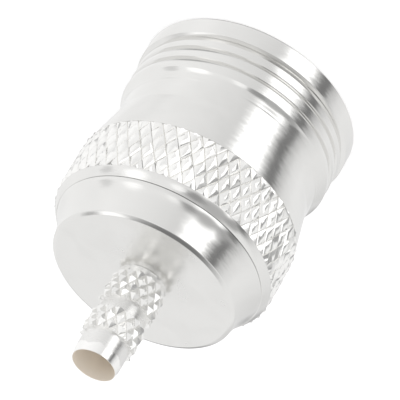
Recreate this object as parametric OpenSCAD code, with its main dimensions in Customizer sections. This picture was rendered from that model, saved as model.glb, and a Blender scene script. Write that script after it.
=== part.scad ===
// Straight crimp plug with a knurled coupling nut, turned in nickel-plated brass.
// All lengths are in millimetres. The plug stands on the open mouth of its nut:
// the mouth lies in the plane z = 0, and the axis runs up +Z to the crimp stem.

/* [Coupling nut] */
// Length of the nut from its mouth to its rear rim
nut_length = 19.1; // [17:0.05:21]
// Diameter over the knurl's diamonds
knurl_diameter = 21; // [20:0.1:23]
// Depth of the knurl's grooves
knurl_depth = 0.34; // [0.25:0.01:0.5]
// Width of a diamond's flat top, as a share of the diamond
knurl_flat = 0.65; // [0.2:0.05:0.7]
// Width of the knurled band along the axis
knurl_width = 5.3; // [4:0.1:7]
// Number of diamonds around the nut
knurl_count = 52; // [36:2:64]
// Number of half diamonds across the knurled band
knurl_rows = 5; // [3:1:8]
// Wall between the knurl's grooves and the retaining ring's pocket
nut_wall = 1.06; // [0.7:0.02:1.3]
// Length of the chamfer behind the knurl
nut_rear_chamfer = 0.8; // [0.3:0.05:1]
// Diameter of the plain band at the mouth
front_band_diameter = 20.4; // [19.8:0.1:21]
// Width of the plain band at the mouth
front_band_width = 2.1; // [1.4:0.1:2.5]
// Diameter over the crowns of the turned rings
ring_diameter = 20; // [19.6:0.1:20.8]
// Spacing of the turned rings along the axis
ring_pitch = 1.3; // [1.1:0.05:1.6]
// Number of turned rings behind the front band
ring_count = 3; // [2:1:3]
// Width of the groove between two rings
ring_groove_width = 0.16; // [0.1:0.01:0.3]
// Depth of the groove between two rings, below the rings' edges
ring_groove_depth = 0.15; // [0.08:0.01:0.3]
// Height of a ring's crown over its edges
ring_crown = 0.12; // [0.05:0.01:0.2]
// Diameter of the waist between the rings and the knurl
waist_diameter = 18.84; // [18.4:0.02:19.4]
// Length of the straight part of the waist
waist_length = 1.8; // [1:0.1:3]

/* [Coupling thread] */
// Diameter of the thread's root, 5/8-24 UNEF with its allowance
thread_root_diameter = 15.94; // [15.9:0.01:16]
// Length of the threaded bore
thread_length = 10.4; // [8:0.1:10.8]
// Turns of the thread in 25.4 mm
threads_per_inch = 24; // [22:1:28]
// Height of the thread's ridge above its root
thread_depth = 0.55; // [0.3:0.05:0.6]
// Lead-in chamfer at the mouth
mouth_chamfer = 0.45; // [0.2:0.05:0.6]

/* [Connector body] */
// Diameter of the smooth rear section
rear_diameter = 17.3; // [17:0.1:18.4]
// Length of the rear section behind the nut, gap not counted
rear_length = 3.1; // [2.8:0.05:5]
// Diameter of the flange that the nut's rear rim faces
flange_diameter = 19.5; // [19.2:0.1:20]
// Thickness of the flange at its chamfered edge
flange_edge = 0.3; // [0.1:0.05:0.4]
// Radius lost over that edge
flange_chamfer = 0.2; // [0.05:0.05:0.3]
// Length of the hollow that runs from the flange into the rear section
cove_length = 2.1; // [1.4:0.1:2.1]
// Chamfer around the rear face, measured across the radius
face_chamfer = 0.4; // [0.2:0.05:0.6]

/* [Crimp stem] */
// Length of the stem behind the rear face
stem_length = 9.65; // [8:0.05:12]
// Outer diameter of the plain stem
stem_diameter = 4.3; // [4.2:0.05:4.6]
// Diameter of the bore that takes the cable's dielectric
stem_bore = 3.94; // [3.6:0.02:4]
// Diameter over the diamonds of the stem's knurls
stem_knurl_diameter = 5.1; // [4.9:0.05:5.4]
// Number of diamonds around the stem
stem_knurl_count = 14; // [12:1:20]
// Width of a stem diamond's flat top, as a share of the diamond
stem_knurl_flat = 0.2; // [0.1:0.05:0.4]
// Length of the plain root between the rear face and the first knurl
stem_root = 0.65; // [0.3:0.05:1]
// Width of the knurl next to the rear face
root_knurl_width = 2.95; // [2:0.05:3.2]
// Width of the plain land between the two knurls
stem_land = 1.2; // [0.8:0.1:1.6]
// Width of the knurl next to the tip
tip_knurl_width = 2.4; // [1.6:0.05:2.8]
// Length of the chamfer at the tip
stem_chamfer = 0.7; // [0.3:0.05:0.9]

/* [Contacts and insulators] */
// Setback of the outer contact's edge from the nut's mouth
contact_setback = 1.5; // [1:0.1:2]
// Outer diameter of the outer contact's sleeve
sleeve_diameter = 8; // [7.9:0.02:8.1]
// Inner diameter of the outer contact's sleeve
sleeve_bore = 7; // [6.9:0.02:7.1]
// Number of slots in the sleeve
slot_count = 4; // [3:1:6]
// Width of a slot
slot_width = 0.5; // [0.3:0.05:0.8]
// Length of a slot
slot_length = 4.5; // [3:0.1:6]
// Diameter of the centre pin
pin_diameter = 1.65; // [1.6:0.01:1.7]
// Length of the centre pin in front of its shoulder
pin_length = 4.3; // [3.5:0.1:5]
// Setback of the pin's tip from the outer contact's edge
pin_setback = 1; // [0.5:0.1:2]
// Diameter of the centre contact's shoulder
shoulder_diameter = 3.04; // [3:0.01:3.1]
// Diameter of the collar that keeps the centre contact in place
collar_diameter = 4; // [3.6:0.1:4.4]
// Length of that collar
collar_length = 1; // [0.6:0.1:1.4]
// Diameter of the centre contact's rear barrel
barrel_diameter = 2.6; // [2.4:0.1:3]
// Length of the rear barrel behind the collar
barrel_length = 3; // [2:0.1:3.4]
// Diameter of the hole for the cable's inner conductor
conductor_hole = 1.5; // [1.1:0.05:1.6]
// Depth of the hole for the cable's inner conductor
conductor_depth = 4.4; // [3.2:0.1:5]
// Diameter of the inspection hole through the barrel's wall
sight_hole = 0.6; // [0.4:0.1:0.8]
// Setback of the front insulator's face from the pin's shoulder
insulator_setback = 1.8; // [1:0.1:2.4]
// Diameter of the front insulator's flange
insulator_flange_diameter = 8.6; // [8:0.1:9]
// Length of the front insulator's flange
insulator_flange_length = 3.4; // [2:0.1:3.6]
// Length of the rear insulator
rear_insulator_length = 4.5; // [4:0.1:5]

/* [Seal and retaining ring] */
// Distance from the outer contact's edge to the gasket's face
gasket_depth = 9.1; // [8.8:0.1:9.4]
// Thickness of the gasket
gasket_thickness = 1.4; // [1:0.1:1.8]
// Width of the shank's end left bare around the gasket
gasket_inset = 0.7; // [0.4:0.05:1]
// Diameter of the boss that centres the gasket
boss_diameter = 9.2; // [9:0.1:10]
// Length of the boss
boss_length = 1; // [0.6:0.1:1.2]
// Diameter of the outer contact's pressed hub
hub_diameter = 11; // [10:0.1:12]
// Length of the outer contact's pressed hub
hub_length = 4; // [3:0.1:4.4]
// How far the retaining ring stands out of the shank
ring_overlap = 0.8; // [0.6:0.05:1]
// Radial width of the retaining ring
retaining_ring_width = 1.3; // [1.1:0.1:1.4]
// Thickness of the retaining ring
retaining_ring_thickness = 0.8; // [0.6:0.05:0.9]
// Opening between the ends of the retaining ring
retaining_ring_gap = 2; // [1:0.1:3]
// Length of the nut's rear lip, which the ring holds
lip_length = 2.45; // [1.8:0.05:2.8]

/* [Fits] */
// Radial clearance of the nut on the shank
running_clearance = 0.06; // [0.02:0.01:0.1]
// Gap between the nut's rear rim and the flange
rim_gap = 0.1; // [0.05:0.05:0.25]
// Gap between the nut's lip and the retaining ring
lip_gap = 0.2; // [0.1:0.05:0.25]
// Radial clearance around the retaining ring and the body's front
relief_clearance = 0.3; // [0.2:0.05:0.4]
// Spare room in the retaining ring's groove along the axis
ring_slack = 0.1; // [0.05:0.05:0.15]

/* [Hidden] */

$fn = 96;
NICKEL = [0.80, 0.80, 0.78];
GOLD = [0.86, 0.68, 0.30];
PTFE = [0.94, 0.94, 0.92];
SILICONE = [0.62, 0.22, 0.14];
STEEL = [0.70, 0.71, 0.72];
CUT = 1;                // how far a cutting tool runs past the face it opens
BITE = 0.04;            // how far a knurled band runs into the metal at its ends
BAND_SINK = 0.1;        // how far a knurled band reaches below the metal's surface
KNURL_EDGE = 0.3;       // height of a diamond cut off at a band's end, as a share of the depth
EDGE_BREAK = 0.05;      // how far plain metal stands proud of the cut-off diamonds
RIM_BREAK = 0.25;       // broken edge at the nut's mouth
THREAD_SINK = 0.1;      // how far the thread's ridge is rooted in the nut's wall
THREAD_CREST = 0.1;     // half the width of the ridge's flat crest
THREAD_STEPS = 40;      // flats in one turn of the thread
THREAD_FADE = 10;       // flats over which the ridge rises out of the wall at each end
THREAD_MARGIN = 0.05;   // plain wall left beyond the ridge at each end
CROWN_STEPS = 6;        // flats that make up a ring's crown
RIM_DROP = 0.5;         // radius lost over the nut's rear chamfer
COVE_STEPS = 10;        // flats that make up the hollow behind the flange
SHOULDER_SLOPE = 1.3;   // length of the rings' rear shoulder for each unit of radius
NARROW_RING = 0.3;      // width of the narrow ring at the foot of the shoulder
NARROW_STEP = 0.08;     // step from the narrow ring down to the waist
FACE_SLOPE = 0.5;       // length of the rear face's chamfer for each unit of radius
TIP_DROP = 0.07;        // radius lost over the stem's tip chamfer
STEM_LIFT = 0.03;       // height of the stem's knurl grooves over the plain stem
ROOT_ROWS = 4;          // half diamonds across the knurl next to the rear face
TIP_ROWS = 3;           // half diamonds across the knurl next to the tip
SLEEVE_BREAK = 0.15;    // broken edge at the outer contact's mouth
PIN_NOSE = 0.9;         // length of the centre pin's tapered nose
PIN_NOSE_RADIUS = 0.35; // radius at the end of that nose
HOLE_POINT = 0.4;       // length of the drill point in the conductor hole
FUNNEL_LENGTH = 1;      // length of the rear insulator's lead-in

// Radii
knurl_r = knurl_diameter / 2;
knurl_root_r = knurl_r - knurl_depth;
knurl_edge_r = knurl_root_r + KNURL_EDGE * knurl_depth;
shoulder_r = knurl_edge_r + EDGE_BREAK;
band_r = front_band_diameter / 2;
ring_r = ring_diameter / 2;
waist_r = waist_diameter / 2;
thread_r = thread_root_diameter / 2;
thread_pitch = 25.4 / threads_per_inch;
thread_base = THREAD_CREST + (thread_depth + THREAD_SINK) * tan(30);
pocket_r = knurl_root_r - nut_wall;
retaining_r = pocket_r - relief_clearance;
shank_r = retaining_r - ring_overlap;
lip_r = shank_r + running_clearance;
relief_r = shank_r + relief_clearance;
groove_r = retaining_r - retaining_ring_width - relief_clearance;
rear_r = rear_diameter / 2;
flange_r = flange_diameter / 2;
stem_r = stem_diameter / 2;
stem_bore_r = stem_bore / 2;
stem_knurl_r = stem_knurl_diameter / 2;
sleeve_r = sleeve_diameter / 2;
bore_r = sleeve_bore / 2;
gasket_r = shank_r - gasket_inset;
boss_r = boss_diameter / 2;
hub_r = hub_diameter / 2;
pin_r = pin_diameter / 2;
contact_r = shoulder_diameter / 2;
collar_r = collar_diameter / 2;
barrel_r = barrel_diameter / 2;
insulator_r = insulator_flange_diameter / 2;

// Places along the axis, from the nut's mouth
knurl_end = nut_length - nut_rear_chamfer;
knurl_start = knurl_end - knurl_width;
rings_end = front_band_width + ring_count * ring_pitch;
narrow_start = rings_end + (ring_r - waist_r - NARROW_STEP) * SHOULDER_SLOPE;
waist_start = narrow_start + NARROW_RING;
waist_end = waist_start + waist_length;
lip_start = nut_length - lip_length;
ring_rear = lip_start - lip_gap;
ring_front = ring_rear - retaining_ring_thickness;
flange_front = nut_length + rim_gap;
cove_start = flange_front + flange_edge;
cove_drop = flange_r - flange_chamfer - rear_r;
cove_r = (cove_length * cove_length + cove_drop * cove_drop) / (2 * cove_drop);
cove_turn = asin(cove_length / cove_r);
face = flange_front + rear_length;
stem_end = face + stem_length;
sleeve_end = contact_setback;
gasket_face = contact_setback + gasket_depth;
body_front = gasket_face + gasket_thickness;
hub_rear = body_front + hub_length;
pin_tip = contact_setback + pin_setback;
pin_shoulder = pin_tip + pin_length;
insulator_face = pin_shoulder + insulator_setback;
insulator_flange_front = hub_rear - insulator_flange_length;
collar_front = hub_rear - collar_length;
barrel_rear = hub_rear + barrel_length;
rear_insulator_end = hub_rear + rear_insulator_length;
root_knurl_start = face + stem_root;
root_knurl_end = root_knurl_start + root_knurl_width;
tip_knurl_start = root_knurl_end + stem_land;

// A closed ring with a diamond knurl outside: flat-topped diamonds between sloping grooves.
// Groove crossings and diamonds alternate around each level circle, and change places from
// one circle to the next. A diamond on the first or last circle is cut in half there.
function on_circle(r, turn, z) = [r * cos(turn), r * sin(turn), z];
function halves(quad) = [[quad[0], quad[1], quad[2]], [quad[0], quad[2], quad[3]]];

module knurled_ring(start, width, count, rows, flat, inner_r, root_r, edge_r, top_r) {
    pitch = 360 / count;
    step = width / rows;
    crossings = [for (k = [0:rows]) for (m = [0:count - 1])
        on_circle(root_r, (m + ((k + 1) % 2) / 2) * pitch, start + k * step)];
    // Four corners of each diamond's top: left, upper, right and lower
    corners = [for (k = [0:rows]) for (m = [0:count - 1])
        let (turn = (m + (k % 2) / 2) * pitch, side = flat * pitch / 2, z = start + k * step,
             end = k == 0 || k == rows)
        each [on_circle(end ? edge_r : top_r, turn - side, z),
              on_circle(k == rows ? edge_r : top_r, turn, k == rows ? z : z + flat * step),
              on_circle(end ? edge_r : top_r, turn + side, z),
              on_circle(k == 0 ? edge_r : top_r, turn, k == 0 ? z : z - flat * step)]];
    inside = [for (k = [0, rows]) for (m = [0:2 * count - 1])
        on_circle(inner_r, (m + (k % 2)) * pitch / 2, start + k * step)];
    diamonds = (rows + 1) * count;
    hollow = 5 * diamonds;
    faces = [for (k = [0:rows]) for (m = [0:count - 1])
        let (odd = k % 2, d = diamonds + 4 * (k * count + m),
             left = k * count + (m + count - 1 + odd) % count,
             right = k * count + (m + odd) % count,
             upper = (k + 1) * count + m,
             lower = (k - 1) * count + m)
        each concat(
            halves([d, d + 1, d + 2, d + 3]),
            k < rows ? concat(halves([left, upper, d + 1, d]), halves([right, d + 2, d + 1, upper])) : [],
            k > 0 ? concat(halves([right, lower, d + 3, d + 2]), halves([left, d, d + 3, lower])) : [])];
    // Each end runs from one groove crossing over the cut diamond to the next crossing.
    ends = [for (k = [0, rows]) for (m = [0:count - 1])
        let (odd = k % 2, d = diamonds + 4 * (k * count + m), cut = k == 0 ? d + 3 : d + 1,
             left = k * count + (m + count - 1 + odd) % count,
             right = k * count + (m + odd) % count,
             base = hollow + (k == 0 ? 0 : 2 * count),
             near = base + 2 * m,
             before = base + (2 * m + 2 * count - 1) % (2 * count),
             after = base + 2 * m + 1)
        each k == 0
            ? [[left, d, cut, near, before], [cut, d + 2, right, after, near]]
            : [[cut, d, left, before, near], [right, d + 2, cut, near, after]]];
    shift = rows % 2;
    wall = [for (m = [0:2 * count - 1])
        let (n = (m + 1) % (2 * count), lift = hollow + 2 * count,
             m_up = (m + 2 * count - shift) % (2 * count), n_up = (n + 2 * count - shift) % (2 * count))
        each halves([hollow + m, hollow + n, lift + n_up, lift + m_up])];
    polyhedron(points = concat(crossings, corners, inside), faces = concat(faces, ends, wall));
}

// A plain tube or disc along the axis
module tube(start, end, outer_r, inner_r) {
    rotate_extrude()
        translate([inner_r, start])
            square([outer_r - inner_r, end - start]);
}

// A crowned ring's outline from the middle of the groove in front of it to its rear edge
function ring_points(z) =
    let (rise = ring_groove_width / 2, length = ring_pitch - ring_groove_width)
    concat(
        [[ring_r - ring_crown - ring_groove_depth, z]],
        [for (i = [0:CROWN_STEPS])
            let (across = 2 * i / CROWN_STEPS - 1)
            [ring_r - ring_crown * across * across, z + rise + length * i / CROWN_STEPS]]);

// The coupling thread: a right-hand ridge wound up the bore
module thread_ridge() {
    first = mouth_chamfer + thread_base + THREAD_MARGIN;
    last = mouth_chamfer + thread_length - thread_base - THREAD_MARGIN;
    steps = floor(THREAD_STEPS * (last - first) / thread_pitch);
    points = [for (i = [0:steps])
        let (turn = 360 * i / THREAD_STEPS, z = first + thread_pitch * i / THREAD_STEPS,
             rise = min(1, i / THREAD_FADE, (steps - i) / THREAD_FADE),
             root = thread_r + THREAD_SINK,
             crest = thread_r + THREAD_SINK / 2 - rise * (thread_depth + THREAD_SINK / 2))
        each [on_circle(root, turn, z - thread_base), on_circle(crest, turn, z - THREAD_CREST),
              on_circle(crest, turn, z + THREAD_CREST), on_circle(root, turn, z + thread_base)]];
    sides = [for (i = [0:steps - 1]) for (k = [0:3])
        let (near = 4 * i, far = near + 4, n = (k + 1) % 4)
        each halves([near + n, near + k, far + k, far + n])];
    last_flat = 4 * steps;
    caps = concat(halves([0, 1, 2, 3]),
                  halves([last_flat + 3, last_flat + 2, last_flat + 1, last_flat]));
    polyhedron(points = points, faces = concat(sides, caps));
}

module nut_outline() {
    polygon(concat(
        [[thread_r + mouth_chamfer, 0],
         [band_r - RIM_BREAK, 0],
         [band_r, RIM_BREAK],
         [band_r, front_band_width - ring_groove_width]],
        [for (k = [0:ring_count - 1])
            each ring_points(front_band_width + k * ring_pitch)],
        [[waist_r + NARROW_STEP, narrow_start],
         [waist_r + NARROW_STEP, waist_start - NARROW_STEP],
         [waist_r, waist_start],
         [waist_r, waist_end],
         [shoulder_r, knurl_start],
         [knurl_root_r - BAND_SINK, knurl_start],
         [knurl_root_r - BAND_SINK, knurl_end],
         [shoulder_r, knurl_end],
         [shoulder_r - RIM_DROP, nut_length],
         [lip_r, nut_length],
         [lip_r, lip_start],
         [pocket_r, lip_start],
         [pocket_r, ring_front - lip_gap],
         [relief_r, ring_front - lip_gap],
         [relief_r, mouth_chamfer + thread_length],
         [thread_r, mouth_chamfer + thread_length],
         [thread_r, mouth_chamfer]]));
}

module coupling_nut() {
    color(NICKEL)
        union() {
            rotate_extrude()
                nut_outline();
            knurled_ring(knurl_start - BITE, knurl_width + 2 * BITE, knurl_count, knurl_rows, knurl_flat,
                         knurl_root_r - 2 * BAND_SINK, knurl_root_r, knurl_edge_r, knurl_r);
            thread_ridge();
        }
}

// The hollow's outline from the flange's edge to where it meets the rear section
function cove_points() =
    [for (i = [0:COVE_STEPS])
        let (turn = cove_turn * (1 - i / COVE_STEPS))
        [rear_r + cove_r * (1 - cos(turn)), cove_start + cove_length - cove_r * sin(turn)]];

// Everything turned on the body except its knurls
module body_outline() {
    polygon(concat(
        [[hub_r, body_front],
         [shank_r, body_front],
         [shank_r, ring_front],
         [groove_r, ring_front],
         [groove_r, ring_rear + ring_slack],
         [shank_r, ring_rear + ring_slack],
         [shank_r, flange_front],
         [flange_r, flange_front]],
        cove_points(),
        [[rear_r, face - face_chamfer * FACE_SLOPE],
         [rear_r - face_chamfer, face],
         [stem_r, face],
         [stem_r, stem_end - stem_chamfer],
         [stem_r - TIP_DROP, stem_end],
         [stem_bore_r, stem_end],
         [stem_bore_r, rear_insulator_end],
         [bore_r, rear_insulator_end],
         [bore_r, hub_rear],
         [hub_r, hub_rear]]));
}

module stem_knurl(start, width, rows) {
    knurled_ring(start, width, stem_knurl_count, rows, stem_knurl_flat,
                 stem_r - BAND_SINK, stem_r + STEM_LIFT, stem_r + 3 * STEM_LIFT, stem_knurl_r);
}

module connector_body() {
    color(NICKEL)
        union() {
            rotate_extrude()
                body_outline();
            stem_knurl(root_knurl_start, root_knurl_width, ROOT_ROWS);
            stem_knurl(tip_knurl_start, tip_knurl_width, TIP_ROWS);
        }
}

module retaining_ring() {
    color(STEEL)
        difference() {
            tube(ring_front, ring_rear, retaining_r, retaining_r - retaining_ring_width);
            translate([0, -retaining_ring_gap / 2, ring_front - CUT])
                cube([retaining_r + CUT, retaining_ring_gap, retaining_ring_thickness + 2 * CUT]);
        }
}

module gasket() {
    color(SILICONE)
        tube(gasket_face, body_front, gasket_r, boss_r);
}

module outer_contact() {
    color(NICKEL)
        difference() {
            rotate_extrude()
                polygon([
                    [bore_r + SLEEVE_BREAK, sleeve_end],
                    [sleeve_r - SLEEVE_BREAK, sleeve_end],
                    [sleeve_r, sleeve_end + SLEEVE_BREAK],
                    [sleeve_r, body_front - boss_length],
                    [boss_r, body_front - boss_length],
                    [boss_r, body_front],
                    [hub_r, body_front],
                    [hub_r, hub_rear],
                    [insulator_r, hub_rear],
                    [insulator_r, insulator_flange_front],
                    [bore_r, insulator_flange_front],
                    [bore_r, sleeve_end + SLEEVE_BREAK]]);
            for (i = [0:slot_count - 1])
                rotate([0, 0, 360 * i / slot_count])
                    translate([0, -slot_width / 2, sleeve_end - CUT])
                        cube([sleeve_r + CUT, slot_width, slot_length + CUT]);
        }
}

module front_insulator() {
    color(PTFE)
        rotate_extrude()
            polygon([
                [contact_r, insulator_face],
                [bore_r, insulator_face],
                [bore_r, insulator_flange_front],
                [insulator_r, insulator_flange_front],
                [insulator_r, hub_rear],
                [collar_r, hub_rear],
                [collar_r, collar_front],
                [contact_r, collar_front]]);
}

module rear_insulator() {
    color(PTFE)
        rotate_extrude()
            polygon([
                [barrel_r, hub_rear],
                [bore_r, hub_rear],
                [bore_r, rear_insulator_end],
                [stem_bore_r, rear_insulator_end],
                [barrel_r, rear_insulator_end - FUNNEL_LENGTH]]);
}

module centre_contact() {
    color(GOLD)
        difference() {
            rotate_extrude()
                polygon([
                    [0, pin_tip],
                    [PIN_NOSE_RADIUS, pin_tip],
                    [pin_r, pin_tip + PIN_NOSE],
                    [pin_r, pin_shoulder],
                    [contact_r, pin_shoulder],
                    [contact_r, collar_front],
                    [collar_r, collar_front],
                    [collar_r, hub_rear],
                    [barrel_r, hub_rear],
                    [barrel_r, barrel_rear],
                    [conductor_hole / 2, barrel_rear],
                    [conductor_hole / 2, barrel_rear - conductor_depth],
                    [0, barrel_rear - conductor_depth - HOLE_POINT]]);
            translate([0, 0, hub_rear + barrel_length / 2])
                rotate([0, 90, 0])
                    cylinder(d = sight_hole, h = barrel_r + CUT);
        }
}

coupling_nut();
connector_body();
retaining_ring();
gasket();
outer_contact();
front_insulator();
rear_insulator();
centre_contact();
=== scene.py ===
"""Looks of a crimp cable plug with a knurled coupling nut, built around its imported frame.

The plug stands on the open mouth of its nut, with its axis up +Z. Sizes below are in
millimetres, and heights are measured from the nut's mouth.
"""

import math

import bmesh
import bpy
from mathutils import Euler, Matrix, Vector


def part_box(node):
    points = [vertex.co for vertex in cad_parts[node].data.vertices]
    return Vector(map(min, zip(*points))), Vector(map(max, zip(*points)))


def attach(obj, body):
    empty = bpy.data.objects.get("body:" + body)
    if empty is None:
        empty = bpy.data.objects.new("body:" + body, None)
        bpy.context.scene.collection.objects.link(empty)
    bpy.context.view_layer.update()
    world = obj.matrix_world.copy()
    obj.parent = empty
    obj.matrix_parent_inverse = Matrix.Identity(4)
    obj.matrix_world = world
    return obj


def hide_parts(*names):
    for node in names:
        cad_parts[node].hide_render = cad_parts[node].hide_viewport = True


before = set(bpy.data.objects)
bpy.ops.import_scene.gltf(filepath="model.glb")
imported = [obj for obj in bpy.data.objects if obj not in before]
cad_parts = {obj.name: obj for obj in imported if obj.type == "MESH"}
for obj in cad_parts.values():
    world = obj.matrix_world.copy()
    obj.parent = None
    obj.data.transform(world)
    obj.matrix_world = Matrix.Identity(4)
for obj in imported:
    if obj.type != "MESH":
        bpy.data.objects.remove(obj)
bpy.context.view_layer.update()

MM = 0.001
FULL_TURN = 2 * math.pi
WELD = 0.000001  # vertices closer than this, in metres, are one
SAME_SPOT = 0.0001  # places closer than this, in millimetres, are one
LEVEL = 0.001  # heights closer than this, in millimetres, are level
SKIN = 0.05  # millimetres from a surface within which its faces are looked for
ARC = 3  # flats in a rounded corner
BIG_TURN = 288  # flats around the nut and the body
SEAL_TURN = 160  # flats around the seal and the snap ring
SLEEVE_TURN = 128  # flats around the slotted sleeve
PLASTIC_TURN = 96  # flats around the insulators
PIN_TURN = 64  # flats around the pin


def reach(node):
    """A node's outer radius, and how high its front and rear ends stand."""
    low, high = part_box(node)
    return max(high[0], -low[0]) / MM, low[2] / MM, high[2] / MM


nut_rear = reach("coupling_nut")[2]
flange_r, body_front, stem_end = reach("connector_body")
snap_ring_r, snap_ring_front, snap_ring_rear = reach("retaining_ring")
seal_r, seal_face = reach("gasket")[:2]
hub_r, sleeve_end, hub_rear = reach("outer_contact")
insulator_r, insulator_front = reach("front_insulator")[:2]
bore_r = reach("rear_insulator")[0]
stem_bore_start = reach("rear_insulator")[2]
collar_r, pin_end, barrel_end = reach("centre_contact")

# Sizes inside the nodes, where pieces meet
LIP_GAP = 0.2  # from the snap ring to the nut on either side
RING_SLACK = 0.1  # from the snap ring to the rear of its groove
RIM_GAP = 0.03  # from the nut's rear rim to the body's flange
SHANK_R = 8.0
BOSS_R = 4.6
INSULATOR_STEP = 12.6
COLLAR_START = 15.0
PIN_R = 1.52
BARREL_R = 1.3
STEM_BORE_R = 1.97


# ---------------------------------------------------------------- working in edit mode

def start_clean():
    """Back to object mode with nothing selected, so that the next primitive is alone."""
    if bpy.context.mode != "OBJECT":
        bpy.ops.object.mode_set(mode="OBJECT")
    bpy.ops.object.select_all(action="DESELECT")


def name_piece(name):
    piece = bpy.context.object
    piece.name = name
    piece.data.name = name
    return piece


def from_axis(place):
    """How far a place is from the plug's axis."""
    return math.hypot(place.x, place.y)


def pick_vertices(wanted):
    """Selects the vertices whose place, in millimetres, passes the test."""
    bpy.ops.mesh.select_mode(type="VERT")
    bpy.ops.mesh.select_all(action="DESELECT")
    mesh = bpy.context.edit_object.data
    shape = bmesh.from_edit_mesh(mesh)
    for vertex in shape.verts:
        vertex.select_set(wanted(vertex.co / MM))
    shape.select_flush_mode()
    bmesh.update_edit_mesh(mesh)


def pick_edges(wanted):
    """Selects the edges whose two ends, in millimetres, pass the test."""
    bpy.ops.mesh.select_mode(type="EDGE")
    bpy.ops.mesh.select_all(action="DESELECT")
    mesh = bpy.context.edit_object.data
    shape = bmesh.from_edit_mesh(mesh)
    for edge in shape.edges:
        edge.select_set(wanted(edge.verts[0].co / MM, edge.verts[1].co / MM))
    bmesh.update_edit_mesh(mesh)


def pick_faces(wanted):
    """Selects the faces whose middle, in millimetres, and normal pass the test."""
    bpy.ops.mesh.select_mode(type="FACE")
    bpy.ops.mesh.select_all(action="DESELECT")
    mesh = bpy.context.edit_object.data
    shape = bmesh.from_edit_mesh(mesh)
    for face in shape.faces:
        face.select_set(wanted(face.calc_center_median() / MM, face.normal))
    bmesh.update_edit_mesh(mesh)


def close_shape():
    """Merges doubles and turns every face outwards."""
    bpy.ops.mesh.select_mode(type="VERT")
    bpy.ops.mesh.select_all(action="SELECT")
    bpy.ops.mesh.remove_doubles(threshold=WELD)
    bpy.ops.mesh.normals_make_consistent(inside=False)


def smooth(piece, angle=32):
    start_clean()
    piece.select_set(True)
    bpy.context.view_layer.objects.active = piece
    bpy.ops.object.shade_smooth_by_angle(angle=math.radians(angle))


def true_walls(piece):
    """Keeps the shading of flat walls true where rounded corners meet them."""
    true = piece.modifiers.new("true", "WEIGHTED_NORMAL")
    true.keep_sharp = True
    true.weight = 100
    bpy.ops.object.modifier_apply(modifier="true")


def finish_faces(piece, material, wanted):
    """Gives some of a piece's faces a finish of their own."""
    start_clean()
    piece.select_set(True)
    bpy.context.view_layer.objects.active = piece
    piece.data.materials.append(material)
    piece.active_material_index = len(piece.data.materials) - 1
    bpy.ops.object.mode_set(mode="EDIT")
    pick_faces(wanted)
    bpy.ops.object.material_slot_assign()
    bpy.ops.object.mode_set(mode="OBJECT")


def join(pieces, name):
    """Makes one piece of several, under the first one's name and mesh."""
    start_clean()
    for piece in pieces:
        piece.select_set(True)
    bpy.context.view_layer.objects.active = pieces[0]
    bpy.ops.object.join()
    return name_piece(name)


# ---------------------------------------------------------------- turning

def draw_outline(name, corners):
    """A closed turned section of (radius, height, rounding) corners, drawn point by point."""
    start_clean()
    bpy.ops.mesh.primitive_plane_add(size=MM)
    name_piece(name)
    bpy.ops.object.mode_set(mode="EDIT")
    bpy.ops.mesh.select_mode(type="VERT")
    bpy.ops.mesh.merge(type="CENTER")
    places = [Vector((corner[0], 0, corner[1])) for corner in corners]
    bpy.ops.transform.translate(value=places[0] * MM)
    for here, there in zip(places, places[1:]):
        step = (there - here) * MM
        bpy.ops.mesh.extrude_vertices_move(TRANSFORM_OT_translate={"value": step})
    ends = (places[0], places[-1])
    pick_vertices(lambda place: any((place - end).length < SAME_SPOT for end in ends))
    bpy.ops.mesh.edge_face_add()
    round_corners(corners)


def round_corners(corners):
    """Rounds the section's corners, all those of one size together."""
    for size in sorted({corner[2] for corner in corners if len(corner) > 2}):
        spots = [Vector((c[0], 0, c[1])) for c in corners if len(c) > 2 and c[2] == size]
        pick_vertices(lambda place: any((place - spot).length < SAME_SPOT for spot in spots))
        bpy.ops.mesh.bevel(offset=size * MM, segments=ARC, affect="VERTICES")


def turned(name, corners, flats, smoothing=32):
    """A piece turned about the axis from its section."""
    draw_outline(name, corners)
    bpy.ops.mesh.select_all(action="SELECT")
    bpy.ops.mesh.spin(steps=flats, angle=FULL_TURN, center=(0, 0, 0), axis=(0, 0, 1))
    close_shape()
    bpy.ops.object.mode_set(mode="OBJECT")
    piece = bpy.context.object
    smooth(piece, smoothing)
    true_walls(piece)
    return piece


# ---------------------------------------------------------------- knurling

CREST_LIFT = 1.01  # swells the lattice at each diamond's middle, so that it folds there


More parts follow.
